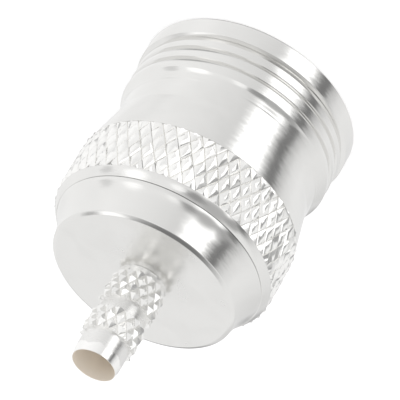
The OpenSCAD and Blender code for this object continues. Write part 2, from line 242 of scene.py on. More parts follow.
def knurled_band(name, ends, count, rows, root_r, cuts, inner_r):
    """A band of diamonds: a lattice longer than the band is split into diamonds, which are
    raised by cuts of (width, rise), and the lattice is trimmed to the band's length."""
    low, high = ends
    row = (high - low) / rows
    column = math.pi / count
    start_clean()
    bpy.ops.mesh.primitive_cylinder_add(
        vertices=2 * count,
        radius=root_r * MM,
        depth=(rows + 2) * row * MM,
        end_fill_type="NOTHING",
    )
    piece = name_piece(name)
    bpy.ops.object.mode_set(mode="EDIT")
    bpy.ops.mesh.select_all(action="SELECT")
    bpy.ops.transform.translate(value=(0, 0, (low + high) / 2 * MM))
    pick_edges(lambda a, b: abs(a.z - b.z) > 0.1)
    bpy.ops.mesh.subdivide(number_cuts=rows + 1)

    def is_crest(place):
        around = round(math.atan2(place.y, place.x) / column)
        return (around + round((place.z - low) / row)) % 2 == 0

    pick_vertices(is_crest)
    bpy.ops.transform.resize(value=(CREST_LIFT, CREST_LIFT, 1), center_override=(0, 0, 0))
    bpy.ops.mesh.select_all(action="SELECT")
    bpy.ops.mesh.quads_convert_to_tris(quad_method="SHORTEST_DIAGONAL")
    pick_vertices(is_crest)
    bpy.ops.mesh.dissolve_verts()
    bpy.ops.mesh.select_mode(type="FACE")
    bpy.ops.mesh.select_all(action="SELECT")
    bpy.ops.mesh.normals_make_consistent(inside=False)
    for width, rise in cuts:
        bpy.ops.mesh.inset(thickness=width * MM, depth=rise * MM, use_individual=True)
    trim_band(low, high, inner_r)
    bpy.ops.object.mode_set(mode="OBJECT")
    return piece


def trim_band(low, high, inner_r):
    """Cuts a band off at both ends and closes its ends down into the metal below."""
    for height, below in ((low, True), (high, False)):
        bpy.ops.mesh.select_all(action="SELECT")
        bpy.ops.mesh.bisect(
            plane_co=(0, 0, height * MM),
            plane_no=(0, 0, 1),
            clear_inner=below,
            clear_outer=not below,
        )
        pick_edges(lambda a, b: max(abs(a.z - height), abs(b.z - height)) < LEVEL)
        bpy.ops.mesh.extrude_edges_move()
        bpy.ops.transform.tosphere(value=1, center_override=(0, 0, height * MM))
        draw_in(height, inner_r)


def draw_in(height, radius):
    """Scales the selected ring of vertices to a radius."""
    shape = bmesh.from_edit_mesh(bpy.context.edit_object.data)
    ring = [vertex.co / MM for vertex in shape.verts if vertex.select]
    share = radius / max(from_axis(place) for place in ring)
    bpy.ops.transform.resize(value=(share, share, 1), center_override=(0, 0, height * MM))


# ---------------------------------------------------------------- coupling nut

KNURL_START = 13.0
KNURL_END = 18.3
KNURL_FLOOR_R = 10.06  # what the turned nut has under its knurl
RINGS_START = 2.1
RING_PITCH = 1.3
RING_R = 9.885
RING_CROWN = (-0.09, -0.03, 0.02, 0.06, 0.09, 0.108, 0.114, 0.093, 0.04)  # rise above RING_R
GROOVE_R = 9.66
GROOVE_SIDE = 0.08  # length of a groove's wall along the axis


def crowned_ring(low):
    """One of the rings turned behind the front band, from the groove before it."""
    length = RING_PITCH - 2 * GROOVE_SIDE
    last = len(RING_CROWN) - 1
    ring = [(GROOVE_R, low, 0.02)]
    for step, rise in enumerate(RING_CROWN):
        ring.append((RING_R + rise, low + GROOVE_SIDE + length * step / last))
    return ring


def nut_corners():
    front = [
        (8.42, 0, 0.04),
        (9.95, 0, 0.05),
        (10.2, 0.25, 0.08),
        (10.2, 1.96, 0.02),
    ]
    rings = []
    for number in range(3):
        rings += crowned_ring(RINGS_START + RING_PITCH * number)
    outside = [
        (9.86, 6.02),
        (9.775, 6.15),
        (9.7, 6.28),
        (9.635, 6.42),
        (9.58, 6.55),
        (9.5, 6.7, 0.03),
        (9.5, 6.83, 0.03),
        (9.42, 6.97, 0.02),
        (9.42, 8.75, 0.2),
        (10.31, KNURL_START, 0.03),
        (KNURL_FLOOR_R, KNURL_START),
        (KNURL_FLOOR_R, KNURL_END),
        (10.31, KNURL_END, 0.03),
        (9.81, nut_rear, 0.01),
        (8.06, nut_rear, 0.1),
    ]
    inside = [
        (8.06, snap_ring_rear + LIP_GAP),
        (9.1, snap_ring_rear + LIP_GAP),
        (9.1, snap_ring_front - LIP_GAP),
        (8.3, snap_ring_front - LIP_GAP),
        (8.3, 10.85),
        (7.97, 10.85),
        (7.97, 0.45, 0.03),
    ]
    return front + rings + outside + inside


THREAD_PITCH = 25.4 / 24
THREAD_START = 0.975  # height of the ridge's middle where it starts
THREAD_END = 10.325
THREAD_ROOT_R = 8.07
THREAD_CREST_R = 7.42
THREAD_BASE = 0.475  # half of the ridge's width at the wall
THREAD_TOP = 0.1  # half of its width at the crest
THREAD_FLATS = 80  # flats in one turn of the thread
THREAD_FADE = 20  # flats over which the ridge rises out of the wall
FADED_R = 8.02  # where the crest starts to rise


def nut_thread():
    """The coupling thread: a right-hand ridge wound up the bore, fading out at both ends."""
    steps = round(THREAD_FLATS * (THREAD_END - THREAD_START) / THREAD_PITCH)
    corners = [
        (THREAD_ROOT_R, THREAD_START - THREAD_BASE),
        (THREAD_CREST_R, THREAD_START - THREAD_TOP),
        (THREAD_CREST_R, THREAD_START + THREAD_TOP),
        (THREAD_ROOT_R, THREAD_START + THREAD_BASE),
    ]
    draw_outline("nut_thread", corners)
    bpy.ops.object.mode_set(mode="OBJECT")
    thread = bpy.context.object
    wind = thread.modifiers.new("wind", "SCREW")
    wind.axis = "Z"
    wind.angle = FULL_TURN * steps / THREAD_FLATS
    wind.screw_offset = THREAD_PITCH * steps / THREAD_FLATS * MM
    wind.steps = steps + 1
    wind.render_steps = steps + 1
    bpy.ops.object.modifier_apply(modifier="wind")
    bpy.ops.object.mode_set(mode="EDIT")
    for step in range(THREAD_FADE):
        radius = FADED_R - (FADED_R - THREAD_CREST_R) * step / THREAD_FADE
        fade_crest(step, radius)
        fade_crest(steps - step, radius)
    bpy.ops.mesh.select_all(action="SELECT")
    bpy.ops.mesh.fill_holes(sides=4)
    close_shape()
    bpy.ops.object.mode_set(mode="OBJECT")
    smooth(thread, 25)
    return thread


def fade_crest(step, radius):
    """Moves the ridge's crest out to a radius at one flat of the thread."""
    height = THREAD_START + THREAD_PITCH * step / THREAD_FLATS

    def is_here(place):
        around = math.atan2(place.y, place.x) / FULL_TURN * THREAD_FLATS
        off = (around - step + THREAD_FLATS / 2) % THREAD_FLATS - THREAD_FLATS / 2
        on_crest = from_axis(place) < THREAD_CREST_R + 0.08
        return on_crest and abs(off) < 0.5 and abs(place.z - height) < 2 * THREAD_TOP

    pick_vertices(is_here)
    out = radius / THREAD_CREST_R
    bpy.ops.transform.resize(value=(out, out, 1), center_override=(0, 0, 0))


NUT_DIAMONDS = 52
NUT_ROWS = 5
NUT_ROOT_R = 10.16
NUT_TOPS_R = 10.25  # what stands out further is the diamonds' uneven tops
NUT_RIM_R = 10.36  # what stands out further at the knurl's ends is chamfered
CHAMFERED = 0.986


def nut_knurl():
    """The grip: low pyramids between narrow cut grooves, a little uneven as cut."""
    band = knurled_band(
        "nut_knurl",
        (KNURL_START, KNURL_END),
        count=NUT_DIAMONDS,
        rows=NUT_ROWS,
        root_r=NUT_ROOT_R,
        cuts=[(0.03, 0.1), (0.26, 0.15), (0.17, 0.06)],
        inner_r=10.0,
    )
    bpy.ops.object.mode_set(mode="EDIT")
    for end in (KNURL_START, KNURL_END):
        pick_vertices(lambda place: abs(place.z - end) < LEVEL and from_axis(place) > NUT_RIM_R)
        bpy.ops.transform.resize(value=(CHAMFERED, CHAMFERED, 1), center_override=(0, 0, 0))
    pick_vertices(lambda place: from_axis(place) > NUT_TOPS_R)
    bpy.ops.transform.vertex_random(offset=0.035 * MM, seed=3)
    bpy.ops.object.mode_set(mode="OBJECT")
    smooth(band, 40)
    return band


def on_nut_knurl(place, facing):
    return KNURL_START < place.z < KNURL_END and from_axis(place) > KNURL_FLOOR_R + 0.04


# ---------------------------------------------------------------- connector body

HOLLOW_START = (9.55, 19.5)
HOLLOW_END = (8.65, 22.1)
HOLLOW_SLOPE = 30  # degrees from the axis where the hollow starts
HOLLOW_FLATS = 16
FACE = 22.3
STEM_R = 2.15
ROOT_KNURL = (22.95, 25.9)
TIP_KNURL = (27.1, 29.5)
STEM_DIAMONDS = 14
STEM_ROOT_R = 2.18
STEM_TOPS_R = 2.4  # what stands out further is the diamonds' uneven tops
TIP_MIDDLE_R = 2.0  # on the stem's end, where the tip's painted highlight meets the bore
SCALLOPS = 7
SCALLOPS_START = 31.28
SCALLOP_DEPTH = 0.3


def hollow_corners(low, high, slope):
    """A shallow hollow from one (radius, height) corner to another, as part of a circle whose
    slope from the axis falls evenly between the two from the given angle."""
    drop, length = low[0] - high[0], high[1] - low[1]
    first = math.radians(slope)
    last = 2 * math.atan2(drop, length) - first
    radius = length / (math.sin(first) - math.sin(last))
    corners = []
    for step in range(1, HOLLOW_FLATS):
        turn = first + (last - first) * step / HOLLOW_FLATS
        across = radius * (math.cos(turn) - math.cos(first))
        along = radius * (math.sin(first) - math.sin(turn))
        corners.append((low[0] - across, low[1] + along))
    return corners


def body_corners():
    front = [
        (hub_r, body_front, 0.1),
        (SHANK_R, body_front, 0.15),
        (SHANK_R, snap_ring_front, 0.03),
        (7.2, snap_ring_front),
        (7.2, snap_ring_rear + RING_SLACK),
        (SHANK_R, snap_ring_rear + RING_SLACK, 0.03),
        (SHANK_R, nut_rear + RIM_GAP),
        (flange_r, nut_rear + RIM_GAP, 0.01),
        HOLLOW_START,
    ]
    scallop_steps = [(STEM_R, height) for height in (30.95, 31.05, 31.15)]
    rear = [
        (*HOLLOW_END, 0.04),
        (8.25, FACE, 0.04),
        (STEM_R, FACE, 0.1),
        (STEM_R, ROOT_KNURL[0]),
        *scallop_steps,
        (STEM_R, 31.25, 0.02),
        (2.05, 31.65, 0.02),
        (2.03, stem_end, 0.02),
        (STEM_BORE_R, stem_end, 0.03),
        (STEM_BORE_R, stem_bore_start),
        (bore_r, stem_bore_start),
        (bore_r, hub_rear),
        (hub_r, hub_rear),
    ]
    return front + hollow_corners(HOLLOW_START, HOLLOW_END, HOLLOW_SLOPE) + rear


def stem_knurl(name, ends, rows):
    """Sharp diamonds that bite into the cable's braid, uneven as cut."""
    band = knurled_band(
        name,
        ends,
        count=STEM_DIAMONDS,
        rows=rows,
        root_r=STEM_ROOT_R,
        cuts=[(0.03, 0.08), (0.27, 0.25), (0.05, 0.03)],
        inner_r=2.1,
    )
    bpy.ops.object.mode_set(mode="EDIT")
    pick_vertices(lambda place: from_axis(place) > STEM_TOPS_R)
    bpy.ops.transform.vertex_random(offset=0.07 * MM, seed=rows)
    bpy.ops.object.mode_set(mode="OBJECT")
    smooth(band, 20)
    return band


def on_rear_face(place, facing):
    return place.z > FACE - SKIN and facing.z > 0.9 and from_axis(place) > STEM_R + SKIN


def on_stem(place, facing):
    return place.z > FACE + 2 * SKIN and from_axis(place) > STEM_R - SKIN


def on_crystals(place, facing):
    """True on the stem's knurls and on its neck between them and the rear face."""
    out = from_axis(place) - STEM_R
    on_neck = FACE + 2 * SKIN < place.z < ROOT_KNURL[0] and abs(out) < SKIN
    on_knurls = ROOT_KNURL[0] - SKIN < place.z < TIP_KNURL[1] + 2 * SKIN and out > 0.01
    return on_neck or on_knurls


def on_tip_scallops(place, facing):
    """True on the stem's tip, which takes a painted highlight edged in scallops."""
    around = math.atan2(place.y, place.x)
    edge = SCALLOPS_START - SCALLOP_DEPTH * abs(math.sin(SCALLOPS / 2 * around))
    return place.z > edge and from_axis(place) > TIP_MIDDLE_R


def in_stem_bore(place, facing):
    return place.z > stem_bore_start and from_axis(place) < TIP_MIDDLE_R


# ---------------------------------------------------------------- contacts, insulators, seal

def cut_with(piece, cutters):
    """Takes the cutters' shapes out of a piece and removes them."""
    for cutter in cutters:
        start_clean()
        piece.select_set(True)
        bpy.context.view_layer.objects.active = piece
        cut = piece.modifiers.new("cut", "BOOLEAN")
        cut.operation = "DIFFERENCE"
        cut.solver = "EXACT"
        cut.object = cutter
        bpy.ops.object.modifier_apply(modifier="cut")
        bpy.data.objects.remove(cutter, do_unlink=True)
    smooth(piece)


SLOT_WIDTH = 0.5
SLOT_END = 6.0


def slot_cutter(turn):
    """A round-ended saw cut through one side of the sleeve."""
    start_clean()
    bpy.ops.mesh.primitive_cube_add(size=MM)
    cutter = name_piece("saw_cut")
    bpy.ops.object.mode_set(mode="EDIT")
    bpy.ops.mesh.select_all(action="SELECT")
    bpy.ops.transform.resize(value=(2.0, SLOT_WIDTH, SLOT_END), center_override=(0, 0, 0))
    pick_edges(lambda a, b: a.z > 2 and b.z > 2 and abs(a.x - b.x) > 1)
    bpy.ops.mesh.bevel(offset=0.2 * MM, segments=4)
    bpy.ops.mesh.select_all(action="SELECT")
    bpy.ops.transform.translate(value=(3.9 * MM, 0, SLOT_END / 2 * MM))
    bpy.ops.transform.rotate(value=turn, orient_axis="Z", center_override=(0, 0, 0))
    bpy.ops.object.mode_set(mode="OBJECT")
    return cutter


SLEEVE_R = 4.0
SLEEVE_BREAK = 0.15  # chamfers on the sleeve's open end


def sleeve_contact():
    corners = [
        (bore_r + SLEEVE_BREAK, sleeve_end, 0.04),
        (SLEEVE_R - SLEEVE_BREAK, sleeve_end, 0.06),
        (SLEEVE_R, sleeve_end + SLEEVE_BREAK, 0.06),
        (SLEEVE_R, 11.0),
        (BOSS_R, 11.0, 0.04),
        (BOSS_R, body_front),
        (hub_r, body_front, 0.05),
        (hub_r, hub_rear),
        (insulator_r, hub_rear),
        (insulator_r, INSULATOR_STEP),
        (bore_r, INSULATOR_STEP),
        (bore_r, sleeve_end + SLEEVE_BREAK, 0.04),
    ]
    sleeve = turned("sleeve_contact", corners, SLEEVE_TURN)
    cut_with(sleeve, [slot_cutter(FULL_TURN * side / 4) for side in range(4)])
    return sleeve


TIP_R = 0.825
SIGHT_HOLE_R = 0.3
SIGHT_HOLE_HEIGHT = 17.5


def pin_contact():
    corners = [
        (0, pin_end),
        (0.35, pin_end, 0.12),
        (TIP_R, 3.4, 0.15),
        (TIP_R, 6.8, 0.03),
        (PIN_R, 6.8, 0.06),
        (PIN_R, COLLAR_START),
        (collar_r, COLLAR_START, 0.03),
        (collar_r, hub_rear, 0.03),
        (BARREL_R, hub_rear),
        (BARREL_R, barrel_end, 0.06),
        (0.75, barrel_end, 0.06),
        (0.75, 14.6),
        (0, 14.2),
    ]
    pin = turned("pin_contact", corners, PIN_TURN)
    start_clean()
    bpy.ops.mesh.primitive_cylinder_add(vertices=24, radius=SIGHT_HOLE_R * MM, depth=2.0 * MM)
    drill = name_piece("sight_drill")
    bpy.ops.object.mode_set(mode="EDIT")
    bpy.ops.mesh.select_all(action="SELECT")
    bpy.ops.transform.rotate(value=FULL_TURN / 4, orient_axis="Y", center_override=(0, 0, 0))
    bpy.ops.transform.translate(value=(1.2 * MM, 0, SIGHT_HOLE_HEIGHT * MM))
    bpy.ops.object.mode_set(mode="OBJECT")
    cut_with(pin, [drill])
    return pin


def front_insulator():
    corners = [
        (PIN_R, insulator_front, 0.05),
        (bore_r, insulator_front, 0.05),
        (bore_r, INSULATOR_STEP),
        (insulator_r, INSULATOR_STEP),
        (insulator_r, hub_rear),
        (collar_r, hub_rear),
        (collar_r, COLLAR_START),
        (PIN_R, COLLAR_START),
    ]
    return turned("front_insulator_turned", corners, PLASTIC_TURN)


def rear_insulator():
    corners = [
        (BARREL_R, hub_rear),
        (bore_r, hub_rear),
        (bore_r, stem_bore_start),
        (STEM_BORE_R, stem_bore_start),
        (BARREL_R, 19.5, 0.1),
    ]
    return turned("rear_insulator_turned", corners, PLASTIC_TURN)


def seal_ring():
    corners = [
        (BOSS_R, seal_face, 0.15),
        (seal_r, seal_face, 0.15),
        (seal_r, body_front, 0.08),
        (BOSS_R, body_front, 0.08),
    ]
    return turned("seal_ring", corners, SEAL_TURN)


SNAP_RING_GAP = 2.0


def snap_ring():
    """The open spring ring that holds the nut on the body."""
    corners = [
        (7.5, snap_ring_front, 0.06),
        (snap_ring_r, snap_ring_front, 0.06),
        (snap_ring_r, snap_ring_rear, 0.06),
        (7.5, snap_ring_rear, 0.06),
    ]
    ring = turned("snap_ring", corners, SEAL_TURN)
    start_clean()
    bpy.ops.mesh.primitive_cube_add(size=MM)
    cutter = name_piece("ring_gap")
    bpy.ops.object.mode_set(mode="EDIT")
    bpy.ops.mesh.select_all(action="SELECT")
    bpy.ops.transform.resize(value=(3.0, SNAP_RING_GAP, 2.0), center_override=(0, 0, 0))
    bpy.ops.transform.translate(value=(8.2 * MM, 0, 16.0 * MM))
    bpy.ops.object.mode_set(mode="OBJECT")
    cut_with(ring, [cutter])
    return ring


# ---------------------------------------------------------------- shader groups

def new_group(name, inputs, outputs):
    """A node group with named sockets: (name, socket type, default)."""
    group = bpy.data.node_groups.new(name, "ShaderNodeTree")
    for label, kind, value in inputs:
        socket = group.interface.new_socket(label, in_out="INPUT", socket_type=kind)
        socket.default_value = value
    for label, kind in outputs:
        group.interface.new_socket(label, in_out="OUTPUT", socket_type=kind)
    return group


def add(tree, kind, **settings):
    node = tree.nodes.new(kind)
    for key, value in settings.items():
        setattr(node, key, value)
    return node


def math_node(tree, operation, first, second):
    """The result of an operation on two numbers or sockets."""
    node = add(tree, "ShaderNodeMath", operation=operation)
    for socket, value in zip(node.inputs, (first, second)):
        if isinstance(value, (int, float)):
            socket.default_value = value
        else:
            tree.links.new(value, socket)
    return node.outputs[0]


def ramp_node(tree, value, stops, interpolation="LINEAR"):
    """A colour ramp of (place, grey) stops."""
    node = add(tree, "ShaderNodeValToRGB")
    ramp = node.color_ramp
    ramp.interpolation = interpolation
    for number, (place, tone) in enumerate(stops):
        stop = ramp.elements[number] if number < 2 else ramp.elements.new(place)
        stop.position = place
        stop.color = (tone, tone, tone, 1)
    tree.links.new(value, node.inputs[0])
    return node.outputs[0]


def turning_marks_group():
    """Fine lines left by the lathe: they run around the axis on walls and on faces alike."""
    group = new_group(
        "turning_marks",
        [("Lines per mm", "NodeSocketFloat", 9.0), ("Waviness", "NodeSocketFloat", 1.5)],
        [("Lines", "NodeSocketFloat"), ("Bands", "NodeSocketFloat")],
    )
    given = add(group, "NodeGroupInput")
    place = add(group, "ShaderNodeTexCoord")
    flat = add(group, "ShaderNodeVectorMath", operation="MULTIPLY")
    flat.inputs[1].default_value = (1000, 1000, 0)
    group.links.new(place.outputs["Object"], flat.inputs[0])
    radius = add(group, "ShaderNodeVectorMath", operation="LENGTH")
    group.links.new(flat.outputs[0], radius.inputs[0])
    facing = add(group, "ShaderNodeVectorMath", operation="NORMALIZE")
    group.links.new(flat.outputs[0], facing.inputs[0])
    around = add(group, "ShaderNodeSeparateXYZ")
    group.links.new(facing.outputs[0], around.inputs[0])
    height = add(group, "ShaderNodeSeparateXYZ")
    group.links.new(place.outputs["Object"], height.inputs[0])
    along = math_node(group, "MULTIPLY", height.outputs["Z"], 1000)
    scaled = []
    for part, rate in (
        (around.outputs["X"], given.outputs["Waviness"]),
        (around.outputs["Y"], given.outputs["Waviness"]),
        (along, given.outputs["Lines per mm"]),
        (radius.outputs["Value"], given.outputs["Lines per mm"]),
    ):
        scaled.append(math_node(group, "MULTIPLY", part, rate))
    spot = add(group, "ShaderNodeCombineXYZ")
    for socket, part in zip(spot.inputs, scaled):
        group.links.new(part, socket)
    lines = add(group, "ShaderNodeTexNoise", noise_dimensions="4D")
    lines.inputs["Scale"].default_value = 1
    lines.inputs["Detail"].default_value = 3
    lines.inputs["Roughness"].default_value = 0.6
    group.links.new(spot.outputs[0], lines.inputs["Vector"])
    group.links.new(scaled[3], lines.inputs["W"])
    bands = add(group, "ShaderNodeTexNoise", noise_dimensions="4D")
    bands.inputs["Scale"].default_value = 0.12
    bands.inputs["Detail"].default_value = 2
    group.links.new(spot.outputs[0], bands.inputs["Vector"])
    group.links.new(scaled[3], bands.inputs["W"])
    out = add(group, "NodeGroupOutput")
    group.links.new(lines.outputs["Fac"], out.inputs["Lines"])
    group.links.new(bands.outputs["Fac"], out.inputs["Bands"])
    return group


def handling_group():
    """Faint smudges and short hairline scratches from handling."""
    group = new_group(
        "handling_marks",
        [("Smudge scale", "NodeSocketFloat", 260.0), ("Scratch scale", "NodeSocketFloat", 900.0)],
        [("Smudge", "NodeSocketFloat"), ("Scratch", "NodeSocketFloat")],
    )
    given = add(group, "NodeGroupInput")
    place = add(group, "ShaderNodeTexCoord")
    smudge = add(group, "ShaderNodeTexNoise")
    smudge.inputs["Detail"].default_value = 4
    smudge.inputs["Roughness"].default_value = 0.55
    smudge.inputs["Distortion"].default_value = 0.4
    group.links.new(place.outputs["Object"], smudge.inputs["Vector"])
    group.links.new(given.outputs["Smudge scale"], smudge.inputs["Scale"])
    soft = ramp_node(group, smudge.outputs["Fac"], [(0.42, 0.0), (0.68, 1.0)], "EASE")
    lean = add(group, "ShaderNodeMapping")
    lean.inputs["Rotation"].default_value = (0.5, 0.9, 0.3)
    lean.inputs["Scale"].default_value = (1.0, 0.09, 1.0)
    group.links.new(place.outputs["Object"], lean.inputs["Vector"])
    hair = add(group, "ShaderNodeTexNoise")
    hair.inputs["Detail"].default_value = 2
    hair.inputs["Distortion"].default_value = 0.3
    group.links.new(lean.outputs[0], hair.inputs["Vector"])
    group.links.new(given.outputs["Scratch scale"], hair.inputs["Scale"])
    thin = ramp_node(group, hair.outputs["Fac"], [(0.69, 0.0), (0.74, 1.0)])
    out = add(group, "NodeGroupOutput")
    group.links.new(soft, out.inputs["Smudge"])
    group.links.new(thin, out.inputs["Scratch"])
    return group


def edge_group():
    """Masks of the rubbed outer edges and of the concave corners, which take painted shade."""
    group = new_group(
        "edge_wear_and_corner_shade",
        [("Breakup scale", "NodeSocketFloat", 1800.0)],
        [("Edges", "NodeSocketFloat"), ("Corners", "NodeSocketFloat")],
    )
    given = add(group, "NodeGroupInput")
    shape = add(group, "ShaderNodeNewGeometry")
    place = add(group, "ShaderNodeTexCoord")
    uneven = add(group, "ShaderNodeTexNoise")
    uneven.inputs["Detail"].default_value = 3
    group.links.new(place.outputs["Object"], uneven.inputs["Vector"])
    group.links.new(given.outputs["Breakup scale"], uneven.inputs["Scale"])
    edges = ramp_node(group, shape.outputs["Pointiness"], [(0.52, 0.0), (0.6, 1.0)])
    # Painted shade: where pointiness is low, in the concave corners, this mask darkens the colour.
    corners = ramp_node(group, shape.outputs["Pointiness"], [(0.4, 1.0), (0.48, 0.0)])
    patchy = ramp_node(group, uneven.outputs["Fac"], [(0.35, 0.3), (0.65, 1.0)])
    out = add(group, "NodeGroupOutput")
    group.links.new(math_node(group, "MULTIPLY", edges, patchy), out.inputs["Edges"])
    group.links.new(math_node(group, "MULTIPLY", corners, patchy), out.inputs["Corners"])
    return group


def streaks_group():
    """Swings the normal to and fro along the tool's marks, so that reflections end in streaks."""
    group = new_group(
        "reflected_streaks",
        [("Sway", "NodeSocketFloat", 0.1), ("Normal", "NodeSocketVector", (0, 0, 1))],
        [("Normal", "NodeSocketVector")],
    )
    given = add(group, "NodeGroupInput")
    place = add(group, "ShaderNodeTexCoord")
    fine = add(group, "ShaderNodeVectorMath", operation="MULTIPLY")
    fine.inputs[1].default_value = (380, 380, 2600)
    group.links.new(place.outputs["Object"], fine.inputs[0])
    noise = add(group, "ShaderNodeTexNoise")
    noise.inputs["Scale"].default_value = 1
    noise.inputs["Detail"].default_value = 5
    noise.inputs["Roughness"].default_value = 0.8
    group.links.new(fine.outputs[0], noise.inputs["Vector"])
    off = math_node(group, "SUBTRACT", noise.outputs["Fac"], 0.5)
    amount = math_node(group, "MULTIPLY", off, given.outputs["Sway"])
    sideways = add(group, "ShaderNodeVectorMath", operation="CROSS_PRODUCT")
    sideways.inputs[0].default_value = (0, 0, 1)
    group.links.new(given.outputs["Normal"], sideways.inputs[1])
    step = add(group, "ShaderNodeVectorMath", operation="SCALE")
    group.links.new(sideways.outputs[0], step.inputs[0])
    group.links.new(amount, step.inputs["Scale"])
    swung = add(group, "ShaderNodeVectorMath", operation="ADD")
    group.links.new(given.outputs["Normal"], swung.inputs[0])
    group.links.new(step.outputs[0], swung.inputs[1])
    unit = add(group, "ShaderNodeVectorMath", operation="NORMALIZE")
    group.links.new(swung.outputs[0], unit.inputs[0])
    out = add(group, "NodeGroupOutput")
    group.links.new(unit.outputs[0], out.inputs["Normal"])
    return group


STREAKS = streaks_group()
TURNING = turning_marks_group()
HANDLING = handling_group()
EDGES = edge_group()


# ---------------------------------------------------------------- materials

def new_material(name):
    material = bpy.data.materials.new(name)
    material.use_nodes = True
    tree = material.node_tree
    return material, tree, tree.nodes["Principled BSDF"]


def place_group(tree, group, **values):
    node = add(tree, "ShaderNodeGroup", node_tree=group)
    for label, value in values.items():
        node.inputs[label.replace("_", " ")].default_value = value
    return node


def mix_colours(tree, share, first, second):
    node = add(tree, "ShaderNodeMix", data_type="RGBA")
    tree.links.new(share, node.inputs["Factor"])
    for label, value in (("A", first), ("B", second)):
        socket = [s for s in node.inputs if s.name == label and s.type == "RGBA"][0]
        if isinstance(value, tuple):
            socket.default_value = (*value, 1)
        else:
            tree.links.new(value, socket)
    return [s for s in node.outputs if s.type == "RGBA"][0]


BAND_ROUGHNESS = 0.08  # change of roughness from one band of the tool's marks to the next
SMEAR_ROUGHNESS = 0.025
RUBBED_ROUGHNESS = -0.04
SCRATCH_DEPTH = -0.6  # as a share of the tool's marks
STREAK_SWAY = 0.15


def plated_metal(name, bright, dull, corner_shade, roughness, lines_per_mm, depth, metallic=1.0):
    """Turned and plated metal: lathe lines, smudges, rubbed edges and painted shade in the corners.
    """
    material, tree, surface = new_material(name)
    marks = place_group(tree, TURNING, Lines_per_mm=lines_per_mm)
    handled = place_group(tree, HANDLING)
    edges = place_group(tree, EDGES)
    toned = mix_colours(tree, handled.outputs["Smudge"], bright, dull)
    # Painted shade: concave corners are mixed toward the dark third colour.
    shaded_colour = mix_colours(tree, edges.outputs["Corners"], toned, corner_shade)
    tree.links.new(shaded_colour, surface.inputs["Base Color"])
    rough = math_node(tree, "MULTIPLY_ADD", marks.outputs["Bands"], BAND_ROUGHNESS)
    rough.node.inputs[2].default_value = roughness - BAND_ROUGHNESS / 2
    smeared = math_node(tree, "MULTIPLY_ADD", handled.outputs["Smudge"], SMEAR_ROUGHNESS)
    tree.links.new(rough, smeared.node.inputs[2])
    rubbed = math_node(tree, "MULTIPLY_ADD", edges.outputs["Edges"], RUBBED_ROUGHNESS)
    tree.links.new(smeared, rubbed.node.inputs[2])
    tree.links.new(rubbed, surface.inputs["Roughness"])
    surface.inputs["Metallic"].default_value = metallic
    scored = math_node(tree, "MULTIPLY_ADD", handled.outputs["Scratch"], SCRATCH_DEPTH)
    tree.links.new(marks.outputs["Lines"], scored.node.inputs[2])
    relief = add(tree, "ShaderNodeBump")
    relief.inputs["Strength"].default_value = 1.0
    relief.inputs["Distance"].default_value = depth * MM
    tree.links.new(scored, relief.inputs["Height"])
    streaks = place_group(tree, STREAKS, Sway=STREAK_SWAY)
    tree.links.new(relief.outputs["Normal"], streaks.inputs["Normal"])
    tree.links.new(streaks.outputs["Normal"], surface.inputs["Normal"])
    return material


def raw_brass(name, colour, stain):
    """Unpolished brass inside the bore: warm, dull and streaked along the reamer's marks, with a
    pale, nearly non-metal colour that paints light into the shaded bore.
    """
    material, tree, surface = new_material(name)
    marks = place_group(tree, TURNING, Lines_per_mm=5.0)
    toned = mix_colours(tree, marks.outputs["Bands"], colour, stain)
    tree.links.new(toned, surface.inputs["Base Color"])
    rough = math_node(tree, "MULTIPLY_ADD", marks.outputs["Lines"], 0.15)
    rough.node.inputs[2].default_value = 0.5
    tree.links.new(rough, surface.inputs["Roughness"])
    surface.inputs["Metallic"].default_value = 0.1
    relief = add(tree, "ShaderNodeBump")
    relief.inputs["Distance"].default_value = 0.003 * MM
    tree.links.new(marks.outputs["Lines"], relief.inputs["Height"])
    tree.links.new(relief.outputs["Normal"], surface.inputs["Normal"])
    return material


def moulded_plastic(name, colour, shade, roughness):
    """Turned fluoropolymer: waxy white with faint tool lines."""
    material, tree, surface = new_material(name)
    marks = place_group(tree, TURNING, Lines_per_mm=6.0)
    handled = place_group(tree, HANDLING)
    toned = mix_colours(tree, handled.outputs["Smudge"], colour, shade)
    tree.links.new(toned, surface.inputs["Base Color"])
    rough = math_node(tree, "MULTIPLY_ADD", marks.outputs["Bands"], 0.15)
    rough.node.inputs[2].default_value = roughness
    tree.links.new(rough, surface.inputs["Roughness"])
    surface.inputs["Subsurface Weight"].default_value = 0.25
    surface.inputs["Subsurface Radius"].default_value = (0.0008, 0.0008, 0.0007)
    surface.inputs["Subsurface Scale"].default_value = 1.0
    relief = add(tree, "ShaderNodeBump")
    relief.inputs["Distance"].default_value = 0.004 * MM
    tree.links.new(marks.outputs["Lines"], relief.inputs["Height"])
    tree.links.new(relief.outputs["Normal"], surface.inputs["Normal"])
    return material


def rubber(name, colour, dust):
    """Moulded silicone: matt, with a fine bloom of dust."""
    material, tree, surface = new_material(name)
    place = add(tree, "ShaderNodeTexCoord")
    grain = add(tree, "ShaderNodeTexNoise")
    grain.inputs["Scale"].default_value = 5200
    grain.inputs["Detail"].default_value = 4
    tree.links.new(place.outputs["Object"], grain.inputs["Vector"])
    handled = place_group(tree, HANDLING)
    toned = mix_colours(tree, handled.outputs["Smudge"], colour, dust)
    tree.links.new(toned, surface.inputs["Base Color"])
    rough = math_node(tree, "MULTIPLY_ADD", grain.outputs["Fac"], 0.2)
    rough.node.inputs[2].default_value = 0.42
    tree.links.new(rough, surface.inputs["Roughness"])
    relief = add(tree, "ShaderNodeBump")
    relief.inputs["Strength"].default_value = 0.6
    relief.inputs["Distance"].default_value = 0.01 * MM
    tree.links.new(grain.outputs["Fac"], relief.inputs["Height"])
    tree.links.new(relief.outputs["Normal"], surface.inputs["Normal"])
    return material


# ---------------------------------------------------------------- pieces on their bodies

def dress(piece, material, body, node):
    piece.data.materials.clear()
    piece.data.materials.append(material)
    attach(piece, body)
    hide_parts(node)
